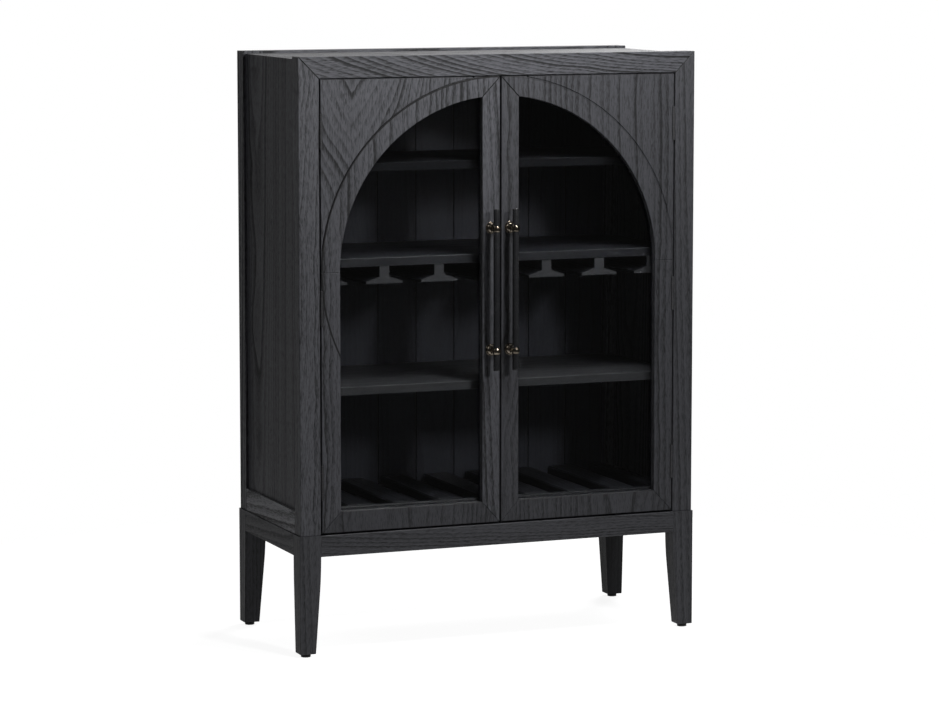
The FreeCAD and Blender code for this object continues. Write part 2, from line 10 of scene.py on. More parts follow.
import bmesh
import bpy
from mathutils import Matrix, Vector


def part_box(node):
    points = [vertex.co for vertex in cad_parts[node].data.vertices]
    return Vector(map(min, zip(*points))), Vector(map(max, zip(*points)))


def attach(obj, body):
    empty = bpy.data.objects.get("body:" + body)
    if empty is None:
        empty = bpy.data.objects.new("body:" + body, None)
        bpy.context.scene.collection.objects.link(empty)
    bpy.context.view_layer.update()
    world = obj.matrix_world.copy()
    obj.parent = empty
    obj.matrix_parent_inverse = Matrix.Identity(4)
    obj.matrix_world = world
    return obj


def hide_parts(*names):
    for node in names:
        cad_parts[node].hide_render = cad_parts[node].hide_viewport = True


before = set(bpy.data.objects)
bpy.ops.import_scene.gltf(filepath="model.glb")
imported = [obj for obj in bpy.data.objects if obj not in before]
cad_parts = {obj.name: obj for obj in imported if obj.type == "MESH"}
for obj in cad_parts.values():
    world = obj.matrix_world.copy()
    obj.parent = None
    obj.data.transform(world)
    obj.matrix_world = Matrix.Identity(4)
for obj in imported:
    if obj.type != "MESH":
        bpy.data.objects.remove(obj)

LOG = logging.getLogger("bar_cabinet")
MM = 0.001
UP = Vector((0, 0, 1))
FORWARD = Vector((0, -1, 0))
MERGE_DISTANCE = 1e-6
FLAT_DISTANCE = 1e-7
CUT_DISTANCE = 1e-8
NOISE_MIDDLE = 0.5
Colour = tuple[float, float, float]
Point = tuple[float, float, float]
Span = tuple[float, float]
Number = Union["Value", float]


class Side(Enum):
    """The left or right half of the cabinet, by the sign of its X."""

    LEFT = -1
    RIGHT = 1

    @property
    def word(self) -> str:
        """The side's name as the solids' names use it."""
        return self.name.lower()


class Grain(Enum):
    """Which way a board's grain runs, as its axes along the grain, across the face and through it."""

    UPRIGHT_FRONT = (2, 0, 1)
    UPRIGHT_SIDE = (2, 1, 0)
    LEVEL_FRONT = (0, 2, 1)
    LEVEL_TOP = (0, 1, 2)
    INWARD_SIDE = (1, 2, 0)
    INWARD_TOP = (1, 0, 2)


class Value:
    """A socket of a node tree that takes part in Python arithmetic."""

    def __init__(self, graph: "Graph", socket: bpy.types.NodeSocket) -> None:
        """Keeps the socket and the graph that adds further nodes to it."""
        self.graph = graph
        self.socket = socket

    def _math(self, operation: str, *terms: Number) -> "Value":
        """Adds a Math node on the terms."""
        return self.graph.node("ShaderNodeMath", {"operation": operation}, dict(enumerate(terms)))

    def __add__(self, other: Number) -> "Value":
        """This value plus another."""
        return self._math("ADD", self, other)

    def __radd__(self, other: Number) -> "Value":
        """A number plus this value."""
        return self._math("ADD", other, self)

    def __sub__(self, other: Number) -> "Value":
        """This value less another."""
        return self._math("SUBTRACT", self, other)

    def __rsub__(self, other: Number) -> "Value":
        """A number less this value."""
        return self._math("SUBTRACT", other, self)

    def __mul__(self, other: Number) -> "Value":
        """This value times another."""
        return self._math("MULTIPLY", self, other)

    def __rmul__(self, other: Number) -> "Value":
        """A number times this value."""
        return self._math("MULTIPLY", other, self)

    def __truediv__(self, other: Number) -> "Value":
        """This value divided by another."""
        return self._math("DIVIDE", self, other)

    def __pow__(self, other: Number) -> "Value":
        """This value raised to a power."""
        return self._math("POWER", self, other)

    def minimum(self, other: Number) -> "Value":
        """The smaller of this value and another."""
        return self._math("MINIMUM", self, other)

    def maximum(self, other: Number) -> "Value":
        """The larger of this value and another."""
        return self._math("MAXIMUM", self, other)

    def root(self) -> "Value":
        """The square root of this value."""
        return self._math("SQRT", self)

    def fraction(self) -> "Value":
        """What follows the point in this value."""
        return self._math("FRACT", self)

    def floor(self) -> "Value":
        """The whole number below this value."""
        return self._math("FLOOR", self)

    def step(self, low: float, high: float) -> "Value":
        """A smooth step from 0 at low to 1 at high, or down where low is the larger."""
        return self.graph.node("ShaderNodeMapRange", {"interpolation_type": "SMOOTHSTEP"},
                               {"Value": self, "From Min": low, "From Max": high})


class Graph:
    """A node tree that is written as expressions on its sockets."""

    def __init__(self, tree: bpy.types.NodeTree) -> None:
        """Takes a tree and empties it."""
        self.tree = tree
        tree.nodes.clear()

    def node(self, kind: str, settings: Mapping[str, Any] | None = None,
             sockets: Mapping[str | int, Any] | None = None, output: str | int = 0) -> Value:
        """Adds a node.

        Args:
            kind: The node's type.
            settings: Its properties, which are set first.
            sockets: Values or links of its inputs, by name among the live ones or by place.
            output: The live output to return, by name or place.

        Returns:
            The chosen output, or the first input of a node that has no output.
        """
        made = self.tree.nodes.new(kind)
        for name, setting in (settings or {}).items():
            setattr(made, name, setting)
        live = {entry.name: entry for entry in reversed(made.inputs) if entry.enabled}
        for key, value in (sockets or {}).items():
            entry = made.inputs[key] if isinstance(key, int) else live[key]
            if isinstance(value, Value):
                self.tree.links.new(value.socket, entry)
            else:
                entry.default_value = value
        outputs = [entry for entry in made.outputs if entry.enabled]
        if isinstance(output, str):
            return Value(self, next(entry for entry in outputs if entry.name == output))
        return Value(self, outputs[output] if outputs else made.inputs[0])

    def place(self) -> list[Value]:
        """Reads where a point is.

        Returns:
            Its X, Y and Z in the cabinet's frame, in millimetres.
        """
        coordinates = self.node("ShaderNodeTexCoord", output="Object")
        scaled = self.node("ShaderNodeVectorMath", {"operation": "SCALE"}, {0: coordinates, "Scale": 1 / MM})
        return [self.node("ShaderNodeSeparateXYZ", sockets={0: scaled}, output=axis) for axis in range(3)]

    def vector(self, x: Number, y: Number, z: Number) -> Value:
        """A vector from three values."""
        return self.node("ShaderNodeCombineXYZ", sockets={0: x, 1: y, 2: z})

    def cells(self, place: Sequence[Value], level: float, upright: float) -> Value:
        """A point as a vector that counts cells of so many millimetres, level and upright."""
        x, y, z = place
        return self.vector(x / level, y / level, z / upright)

    def noise(self, vector: Value, detail: float = 2.0, rough: float = 0.5) -> Value:
        """Smooth noise about 0.5 whose cells are one unit of the vector."""
        return self.node("ShaderNodeTexNoise", sockets={
            "Vector": vector, "Scale": 1.0, "Detail": detail, "Roughness": rough})

    def chance(self, value: Value) -> Value:
        """A steady random number from 0 to 1 for each whole value."""
        return self.node("ShaderNodeTexWhiteNoise", {"noise_dimensions": "1D"}, {"W": value}, "Value")

    def blend(self, factor: Number, first: Any, second: Any) -> Value:
        """Mixes two colours."""
        return self.node("ShaderNodeMix", {"data_type": "RGBA"}, {"Factor": factor, "A": first, "B": second})

    def bump(self, height: Value, strength: float, distance: float) -> Value:
        """A normal that a height in millimetres bends."""
        return self.node("ShaderNodeBump", sockets={
            "Strength": strength, "Distance": distance * MM, "Height": height})

    def surface(self, shader: Value) -> None:
        """Sends a shader to the output."""
        self.node("ShaderNodeOutputMaterial", sockets={"Surface": shader})

    def sight(self) -> tuple[Value, Value]:
        """Tells rays that see a surface straight or through clear glass from rays that were mirrored.

        Returns:
            1 for a straight ray and 1 for a mirrored one, else 0.
        """
        names = ("Is Camera Ray", "Is Glossy Ray", "Is Transmission Ray", "Glossy Depth")
        camera, glossy, clear, mirrors = (self.node("ShaderNodeLightPath", output=name) for name in names)
        straight = camera.maximum(clear * (1.0 - mirrors.minimum(1.0)))
        return straight, glossy.maximum(clear) * (1.0 - straight)


def rgba(colour: Colour) -> tuple[float, float, float, float]:
    """A colour with full alpha, as a socket takes it."""
    return (*colour, 1.0)


def new_material(name: str) -> tuple[bpy.types.Material, Graph]:
    """Makes an empty material.

    Args:
        name: The material's name.

    Returns:
        The material and its graph.
    """
    material = bpy.data.materials.new(name)
    material.use_nodes = True
    return material, Graph(material.node_tree)


@dataclass(frozen=True)
class BoardPlace:
    """Where a point is on a board, in millimetres from its middle along, across and through the grain."""

    along: Value
    across: Value
    through: Value


@dataclass(frozen=True)
class GrainNoise:
    """One kind of unevenness in wood.

    Its cells are so many millimetres across and along the grain. A board's seed moves them across, through and
    along the grain by the signs in moves.
    """

    across: float
    along: float
    moves: tuple[int, int, int]
    detail: float = 2.0
    rough: float = 0.5

    def on(self, graph: Graph, spot: BoardPlace, shift: float) -> Value:
        """Adds the noise at a point of a board.

        Args:
            graph: The tree that takes the nodes.
            spot: The point.
            shift: How many cells the board's seed moves the noise.

        Returns:
            The noise, about 0.5.
        """
        counts = (spot.across / self.across, spot.through / self.across, spot.along / self.along)
        moved = [count + sign * shift if sign else count for count, sign in zip(counts, self.moves)]
        return graph.noise(graph.vector(*moved), self.detail, self.rough)

    def swing(self, graph: Graph, spot: BoardPlace, shift: float) -> Value:
        """The noise at a point of a board, about 0."""
        return self.on(graph, spot, shift) - NOISE_MIDDLE


SWAY = GrainNoise(150.0, 330.0, (1, 0, 1))
WANDER = GrainNoise(60.0, 140.0, (-1, 1, 0))
STREAK = GrainNoise(7.0, 240.0, (1, 0, 0), rough=0.6)
BROAD = GrainNoise(45.0, 420.0, (0, 1, 0), detail=1.0)
DASHES = GrainNoise(1.8, 16.0, (-1, 0, 0), rough=0.55)
PORES = GrainNoise(0.55, 9.0, (0, 1, 0), detail=1.0)


@dataclass(frozen=True)
class OakPattern:
    """What all boards of oak share in their rings, dashes and pores.

    Sways and wanders across and through the grain are in millimetres. A span is the noise between which a mark
    comes up, and the rest are shares.
    """

    seed_stride: float = 17.3
    sway_across: float = 46.0
    sway_through: float = 26.0
    wander_across: float = 9.0
    wander_in_rings: float = 0.8
    faintest_ring: float = 0.15
    ring_front: float = 0.2
    ring_fade: float = 1.3
    dash_span: Span = (0.48, 0.66)
    dash_in_early: float = 0.2
    dash_in_streak: float = 0.2
    dash_height: float = 0.6
    pore_span: Span = (0.54, 0.66)
    pore_in_early: float = 0.16
    streak_depth: float = 0.35
    broad_depth: float = 0.35
    usual_edge_wear_and_shading: float = 0.5
    dark_roughness: float = 0.16
    edge_gloss: float = 0.1
    bump: float = 0.55


PATTERN = OakPattern()


@dataclass(frozen=True)
class Figure:
    """How a board was cut from its log, in millimetres.

    The heart runs along the grain, across from the middle of the board and depth behind its face, and comes
    nearer to the face by slope for each millimetre along the grain, so that the rings draw a cathedral. Above
    foot, measured along the grain from the board's middle, the rings near the heart widen by taper for each
    millimetre, so that they draw chevrons. The seed sets boards of one cut apart.
    """

    across: float
    depth: float
    slope: float
    spacing: float
    seed: float
    taper: float = 0.0
    foot: float = 240.0
    foot_bend: float = 60.0
    taper_reach: float = 250.0

    @property
    def shift(self) -> float:
        """How many cells the seed moves the board's noises."""
        return self.seed * PATTERN.seed_stride

    def early_wood(self, graph: Graph, spot: BoardPlace) -> Value:
        """Draws the rings.

        Args:
            graph: The tree that takes the nodes.
            spot: The point on the board.

        Returns:
            How much of the point is early wood, from 0 to 1.
        """
        sway = SWAY.swing(graph, spot, self.shift)
        wander = WANDER.swing(graph, spot, self.shift)
        reach = spot.across - self.across + sway * PATTERN.sway_across + wander * PATTERN.wander_across
        depth = spot.through + self.depth - spot.along * self.slope + sway * PATTERN.sway_through
        radius = (reach * reach + depth * depth).root()
        if self.taper:
            rise = spot.along - self.foot
            rise = (rise + (rise * rise + self.foot_bend ** 2).root()) / 2
            radius = radius - rise * self.taper * (reach * reach).step(self.taper_reach ** 2, 0.0)
        ring = radius / self.spacing + wander * PATTERN.wander_in_rings
        part = ring.fraction()
        least = PATTERN.faintest_ring
        strength = graph.chance(ring.floor() + self.seed) * (1.0 - least) + least
        return (1 - part) ** PATTERN.ring_fade * part.step(0.0, PATTERN.ring_front) * strength


CHEVRONS = Figure(-366.0, 14.0, 0.0, 21.0, 44.0, taper=0.58)
STRAIGHT = Figure(560.0, 98.0, 0.0, 14.0, 46.0)
# painted shade for the grooves and cracks of joints
JOINT_SHADE: Colour = (0.003, 0.003, 0.0035)


@dataclass(frozen=True)
class RoundJoint:
    """The dark line of a round joint about an axis along Y: painted shade along the joint's groove.

    The radius is in metres. The line is full where the square of the distance from it is under core, in
    millimetres, and ends at half its width.
    """

    centre: Vector
    radius: float
    strength: float = 1.0
    half_width: float = 2.6
    core: float = 1.8
    stain: Colour = JOINT_SHADE

    def nearness(self, place: Sequence[Value]) -> Value:
        """How dark the line is at a point.

        Args:
            place: The point in millimetres.

        Returns:
            The line's strength on it, falling to 0 at half its width.
        """
        x = place[0] - self.centre.x / MM
        z = place[2] - self.centre.z / MM
        off = (x * x + z * z).root() - self.radius / MM
        return (off * off).step(self.half_width ** 2, self.core) * self.strength


@dataclass(frozen=True)
class MitreJoint:
    """The dark line of a straight joint between two points of a front, given by X and Z in metres: painted shade
    in the joint's crack.

    The line is full where the square of the distance from it is under core, in millimetres, and fades out over
    the heights in tail, which count from its lower end.
    """

    upper: tuple[float, float]
    lower: tuple[float, float]
    half_width: float = 1.5
    core: float = 0.4
    tail: Span = (-2.0, -1.0)
    stain: Colour = JOINT_SHADE

    def nearness(self, place: Sequence[Value]) -> Value:
        """How dark the line is at a point.

        Args:
            place: The point in millimetres.

        Returns:
            1 on the line, falling to 0 at half its width and below its lower end.
        """
        along = (Vector(self.upper) - Vector(self.lower)).normalized()
        x = place[0] - self.lower[0] / MM
        z = place[2] - self.lower[1] / MM
        off = x * along.y - z * along.x
        return (off * off).step(self.half_width ** 2, self.core) * z.step(*self.tail)


@dataclass(frozen=True)
class FaceBand:
    """A layer of a board between two depths in metres along Y, in its own colour: painted shade in the grooves
    below its face, a paler tone on rail ends.
    """

    near: float
    far: float
    stain: Colour = JOINT_SHADE
    blur: float = 0.25

    def nearness(self, place: Sequence[Value]) -> Value:
        """How strong the layer is at a point.

        Args:
            place: The point in millimetres.

        Returns:
            1 inside the layer and 0 outside it.
        """
        near, far = self.near / MM, self.far / MM
        y = place[1]
        return y.step(near - self.blur, near + self.blur) * y.step(far + self.blur, far - self.blur)


Mark = Union[RoundJoint, MitreJoint, FaceBand]


@dataclass(frozen=True)
class OakFinish:
    """Open-grained oak, charcoal-stained, dark in its early wood and pores, with a band of rubbing and painted
    light along its arrises.
    """

    late: Colour = (0.09, 0.0914, 0.1035)
    early: Colour = (0.0085, 0.0087, 0.0099)
    # arris band: partly rubbed finish, partly painted light; a pale colour here paints a highlight, a dark one
    # paints a shadow line
    worn: Colour = (0.14, 0.142, 0.155)
    wear: float = 0.2
    edge_wear_and_shading_reach: float = 1.6
    patchy: float = 2.4
    ring_depth: float = 0.92
    dash_depth: float = 0.48
    pore_depth: float = 0.28
    roughness: float = 0.44
    specular: float = 0.4
    relief: float = 0.16

    def material(self, name: str, grain: Grain, figure: Figure, low: Vector, high: Vector,
                 marks: Sequence[Mark] = ()) -> bpy.types.Material:
        """Makes the finish for one board.

        Args:
            name: The material's name.
            grain: Which way the grain runs.
            figure: How the board was cut.
            low: The board's lowest corner, in metres.
            high: Its highest corner.
            marks: The joints and bands on it that take another colour, such as painted shade in joints and
                grooves.

        Returns:
            The board's own material.
        """
        material, graph = new_material(name)
        place = graph.place()
        middle = (low + high) / 2 / MM
        spot = BoardPlace(*(place[axis] - middle[axis] for axis in grain.value))
        early = figure.early_wood(graph, spot)
        streak = STREAK.swing(graph, spot, figure.shift)
        broad = BROAD.swing(graph, spot, figure.shift)
        dashes = DASHES.on(graph, spot, figure.shift) + early * PATTERN.dash_in_early
        dashes = (dashes + streak * PATTERN.dash_in_streak).step(*PATTERN.dash_span)
        pores = PORES.on(graph, spot, figure.shift) + early * PATTERN.pore_in_early
        pores = pores.step(*PATTERN.pore_span)
        dark = early * self.ring_depth + dashes * self.dash_depth + pores * self.pore_depth
        dark = dark - streak * PATTERN.streak_depth - broad * PATTERN.broad_depth
        # painted edge light mixed with rubbing: a band along the arrises, broken by streaks
        worn = self._edge(place, low, high) * (streak * self.patchy + PATTERN.usual_edge_wear_and_shading).maximum(0.0)
        colour = graph.blend(dark, rgba(self.late), rgba(self.early))
        colour = graph.blend(worn * self.wear, colour, rgba(self.worn))
        for mark in marks:
            colour = graph.blend(mark.nearness(place), colour, rgba(mark.stain))
        height = 0 - dashes * PATTERN.dash_height - pores
        graph.surface(graph.node("ShaderNodeBsdfPrincipled", sockets={
            "Base Color": colour,
            "Roughness": self.roughness + dark * PATTERN.dark_roughness - worn * PATTERN.edge_gloss,
            "Specular IOR Level": self.specular,
            "Normal": graph.bump(height, PATTERN.bump, self.relief)}))
        return material

    def _edge(self, place: Sequence[Value], low: Vector, high: Vector) -> Value:
        """The nearness of a surface point to an arris of the board's box, from 0 to 1, which places the rubbing
        and painted edge light.

        Args:
            place: The point in millimetres.
            low: The box's lowest corner, in metres.
            high: Its highest corner.

        Returns:
            1 at an arris, falling to 0 at the reach of the edge band.
        """
        gaps = [(place[axis] - low[axis] / MM).minimum(high[axis] / MM - place[axis]) for axis in range(3)]
        least = gaps[0].minimum(gaps[1])
        most = gaps[0].maximum(gaps[1])
        return least.maximum(most.minimum(gaps[2])).step(self.edge_wear_and_shading_reach, 0.0)


@dataclass(frozen=True)
class MetalFinish:
    """Metal with a handled, slightly uneven polish. Cells and relief are in millimetres."""

    base: Colour
    shade: Colour
    metallic: float
    roughness: float
    uneven: float
    patch: float
    coat: float = 0.0
    coat_roughness: float = 0.2
    cloud_detail: float = 3.0
    cloud_rough: float = 0.6
    shade_span: Span = (0.38, 0.68)
    scratch_width: float = 0.7
    scratch_length: float = 6.0
    scratch_roughness: float = 0.06
    scratch_bump: float = 0.1
    scratch_relief: float = 0.03

    def material(self, name: str) -> bpy.types.Material:
        """Makes the finish.

        Args:
            name: The material's name.

        Returns:
            The material.
        """
        material, graph = new_material(name)
        place = graph.place()
        clouds = graph.noise(graph.cells(place, self.patch, self.patch), self.cloud_detail, self.cloud_rough)
        scratches = graph.noise(graph.cells(place, self.scratch_width, self.scratch_length))
        rough = self.roughness + (clouds - NOISE_MIDDLE) * self.uneven
        rough = rough + (scratches - NOISE_MIDDLE) * self.scratch_roughness
        graph.surface(graph.node("ShaderNodeBsdfPrincipled", sockets={
            "Base Color": graph.blend(clouds.step(*self.shade_span), rgba(self.base), rgba(self.shade)),
            "Metallic": self.metallic, "Roughness": rough,
            "Coat Weight": self.coat, "Coat Roughness": self.coat_roughness,
            "Normal": graph.bump(scratches, self.scratch_bump, self.scratch_relief)}))
        return material


@dataclass(frozen=True)
class PlasticFinish:
    """Moulded plastic with a fine spark-eroded texture. Cells and relief are in millimetres."""

    base: Colour = (0.016, 0.016, 0.017)
    dusty: Colour = (0.035, 0.034, 0.033)
    roughness: float = 0.52
    dust_cell: float = 9.0
    dust_detail: float = 3.0
    dust_span: Span = (0.45, 0.75)
    dust_roughness: float = 0.15
    spark_cell: float = 0.4
    spark_detail: float = 1.0
    spark_bump: float = 0.3
    spark_relief: float = 0.05

    def material(self, name: str) -> bpy.types.Material:
        """Makes the finish.

        Args:
            name: The material's name.

        Returns:
            The material.
        """
        material, graph = new_material(name)
        place = graph.place()
        sparks = graph.noise(graph.cells(place, self.spark_cell, self.spark_cell), self.spark_detail)
        dust = graph.noise(graph.cells(place, self.dust_cell, self.dust_cell), self.dust_detail)
        dust = dust.step(*self.dust_span)
        graph.surface(graph.node("ShaderNodeBsdfPrincipled", sockets={
            "Base Color": graph.blend(dust, rgba(self.base), rgba(self.dusty)),
            "Roughness": dust * self.dust_roughness + self.roughness,
            "Normal": graph.bump(sparks, self.spark_bump, self.spark_relief)}))
        return material


@dataclass(frozen=True)
class GlassFinish:
    """Clear float glass that lets lamp light through to what is behind it. Cells are in millimetres."""

    tint: Colour = (0.985, 0.995, 0.99)
    passing: Colour = (0.92, 0.93, 0.925)
    index: float = 1.45
    smear_width: float = 70.0
    smear_height: float = 110.0
    smear_detail: float = 3.0
    smear_rough: float = 0.6
    smear_span: Span = (0.55, 0.85)
    smear_roughness: float = 0.03

    def material(self, name: str) -> bpy.types.Material:
        """Makes the finish.

        Args:
            name: The material's name.

        Returns:
            The material.
        """
        material, graph = new_material(name)
        cells = graph.cells(graph.place(), self.smear_width, self.smear_height)
        smears = graph.noise(cells, self.smear_detail, self.smear_rough).step(*self.smear_span)
        clear = graph.node("ShaderNodeBsdfPrincipled", sockets={
            "Base Color": rgba(self.tint), "Roughness": smears * self.smear_roughness, "IOR": self.index,
            "Transmission Weight": 1.0})
        shadow = graph.node("ShaderNodeLightPath", output="Is Shadow Ray")
        bounce = graph.node("ShaderNodeLightPath", output="Is Diffuse Ray")
        passing = graph.node("ShaderNodeBsdfTransparent", sockets={"Color": rgba(self.passing)})
        graph.surface(graph.node("ShaderNodeMixShader", sockets={
            0: shadow.maximum(bounce), 1: clear, 2: passing}))
        return material


OAK = OakFinish()
# a quieter figure, and darker as painted shade on the right front stile and the legs
QUIET_OAK = replace(OAK, late=(0.068, 0.069, 0.0775), ring_depth=0.5, dash_depth=0.4)
# painted shade: darker still, for the rear right leg
SHADED_OAK = replace(QUIET_OAK, late=(0.018, 0.0183, 0.0207), specular=0.25)
# painted shade: a darker copy for the aprons and the top panel
DARK_OAK = replace(OAK, late=(0.07, 0.071, 0.08), ring_depth=0.75)
# painted light: a paler copy for the left front stile, which the light favours
PALE_OAK = replace(QUIET_OAK, late=(0.1, 0.1016, 0.114), ring_depth=0.4, dash_depth=0.5)
# painted light: a far paler, glossier copy for the side rails
SIDE_OAK = replace(OAK, late=(0.27, 0.274, 0.3), specular=0.75)
# painted light: a paler copy with bolder rings for the front top rail
RAIL_OAK = replace(OAK, late=(0.1, 0.1016, 0.115), ring_depth=1.7)
# painted shadow line: a near-black band along the door boards' arrises, darkening their gaps
DOOR_OAK = replace(OAK, worn=(0.005, 0.005, 0.006), wear=2.0, edge_wear_and_shading_reach=2.2, patchy=0.0)
# painted shade: a darker copy of the door oak for the right door
DARK_DOOR_OAK = replace(DOOR_OAK, late=(0.062, 0.063, 0.0715), ring_depth=0.75)
# painted shade: darker still for the doors' bottom rails, darker towards the bottom
LOW_DOOR_OAK = replace(DARK_DOOR_OAK, late=(0.058, 0.059, 0.067), ring_depth=0.5)
# painted highlight: a pale, wider band along the front apron's arrises
EDGED_OAK = replace(DARK_OAK, wear=0.8, edge_wear_and_shading_reach=2.4)
INSIDE = OakFinish(
    late=(0.0098, 0.0102, 0.0135), early=(0.005, 0.0052, 0.0066), worn=(0.03, 0.03, 0.033), wear=0.3,
    ring_depth=0.4, dash_depth=0.3, pore_depth=0.25, roughness=0.45, specular=0.17, relief=0.04)
# painted highlight: a pale band along the shelves' arrises
SHELF = replace(INSIDE, worn=(0.13, 0.132, 0.145), wear=0.8, edge_wear_and_shading_reach=2.2)
# painted shade: a darker, duller copy for the upper shelf, which the arch shades
HIGH_SHELF = replace(INSIDE, late=(0.0074, 0.0076, 0.0092), specular=0.03)
# painted light: a paler copy for the lower shelf, for the light reaching it through the glass
LOW_SHELF = replace(SHELF, late=(0.034, 0.0344, 0.038), early=(0.02, 0.0202, 0.023))
# painted light: a paler copy for the back panel, for the light reaching it through the glass
BACK = replace(INSIDE, late=(0.034, 0.0351, 0.0465), early=(0.0215, 0.0221, 0.029))
# painted highlight: a bright band along the rack rails' top arris
RACK = replace(INSIDE, worn=(0.5, 0.5, 0.53), wear=2.0, edge_wear_and_shading_reach=1.8, patchy=0.0)
PALE_END_TONE: Colour = (0.036, 0.0364, 0.041)
BLACK_METAL = MetalFinish(
    base=(0.018, 0.0182, 0.02), shade=(0.024, 0.0243, 0.0265), metallic=0.0, roughness=0.22, uneven=0.05,
    patch=30.0, coat=0.6)
PAINTED_METAL = MetalFinish(
    base=(0.04, 0.04, 0.043), shade=(0.055, 0.055, 0.058), metallic=0.0, roughness=0.42, uneven=0.15, patch=12.0)
BRASS = MetalFinish(
    base=(0.42, 0.365, 0.295), shade=(0.13, 0.108, 0.085), metallic=1.0, roughness=0.13, uneven=0.1, patch=5.0)
STEEL = MetalFinish(
    base=(0.55, 0.55, 0.56), shade=(0.38, 0.38, 0.39), metallic=1.0, roughness=0.3, uneven=0.2, patch=6.0)
PLASTIC = PlasticFinish()
GLASS = GlassFinish()


@dataclass(frozen=True)
class Board:
    """One wooden solid and the way that its grain lies."""

    node: str
    grain: Grain
    figure: Figure
    finish: OakFinish = OAK
    marks: tuple[Mark, ...] = ()

    def dress(self) -> None:
        """Gives the board's solid its own cut of oak."""
        name = self.node + "_oak"
        material = self.finish.material(name, self.grain, self.figure, *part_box(self.node), self.marks)
        dress_all([self.node], material)


def dress_all(nodes: Iterable[str], material: bpy.types.Material) -> None:
    """Puts a material in every slot of the solids' objects.

    Args:
        nodes: The solids' names.
        material: The material they share.
    """
    for node in nodes:
        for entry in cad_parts[node].material_slots:
            entry.link = "OBJECT"
            entry.material = material
        LOG.info("dressed %s", node)


def middle_of(node: str) -> Vector:
    """The middle of a solid's box."""
    low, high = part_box(node)
    return (low + high) / 2


def inner_edge(node: str, side: Side) -> float:
    """The X at which a solid on one side comes nearest to the cabinet's middle."""
    low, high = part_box(node)
    return low.x if side is Side.RIGHT else high.x


def outer_edge(node: str, side: Side) -> float:
    """The X at which a solid on one side is furthest from the cabinet's middle."""
    low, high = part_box(node)
    return high.x if side is Side.RIGHT else low.x


def arc(centre: tuple[float, float], radius: tuple[float, float], start: float, end: float,
        steps: int) -> list[tuple[float, float]]:
    """Points along an elliptical arc of a turned profile.

    Args:
        centre: The arc's centre, as radius and height.
        radius: The two half axes.
        start: The first angle in degrees, counted from outwards to upwards.
        end: The last angle.
        steps: How many parts the arc has.

    Returns:
        The points, both ends included.
    """
    angles = [math.radians(start + (end - start) * index / steps) for index in range(steps + 1)]
    return [(centre[0] + radius[0] * math.cos(a), centre[1] + radius[1] * math.sin(a)) for a in angles]


def turn(mesh: bmesh.types.BMesh, profile: Sequence[tuple[float, float]], centre: Vector, axis: Vector,
         steps: int, closed: bool = False) -> None:
    """Turns a profile as on a lathe and adds it to a mesh.

    Args:
        mesh: The mesh that takes the turned shape.
        profile: Points as radius and height along the axis, in metres.
        centre: Where the axis starts.
        axis: The direction of the heights.
        steps: How many sides a full turn has.
        closed: Whether the profile's last point joins its first.
    """
    side = axis.orthogonal().normalized()
    verts = [mesh.verts.new(centre + side * radius + axis * height) for radius, height in profile]
    pairs = list(zip(verts, verts[1:] + verts[:1]))
    edges = [mesh.edges.new(pair) for pair in (pairs if closed else pairs[:-1])]
    bmesh.ops.spin(mesh, geom=verts + edges, cent=centre, axis=axis, angle=2 * math.pi, steps=steps,
                   use_merge=True, use_duplicate=False)


def finish_piece(mesh: bmesh.types.BMesh, name: str, body: str, material: bpy.types.Material,
                 replaced: Sequence[str] = (), sharp: float = 38.0) -> None:
    """Turns a bmesh into a named piece that rides on a body.

    Args:
        mesh: The finished shape, which is freed.
        name: The piece's name.
        body: The body it moves with.
        material: Its finish.
        replaced: Solids that it stands for.
        sharp: The angle in degrees from which an edge stays sharp.
    """
    bmesh.ops.remove_doubles(mesh, verts=mesh.verts, dist=MERGE_DISTANCE)
    bmesh.ops.recalc_face_normals(mesh, faces=mesh.faces)
    data = bpy.data.meshes.new(name)
    mesh.to_mesh(data)
    mesh.free()
    data.shade_smooth()
    data.set_sharp_from_angle(angle=math.radians(sharp))
    data.materials.append(material)
    piece = bpy.data.objects.new(name, data)
    bpy.context.scene.collection.objects.link(piece)
    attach(piece, body)
    if replaced:
        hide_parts(*replaced)
    LOG.info("made %s on %s", name, body)


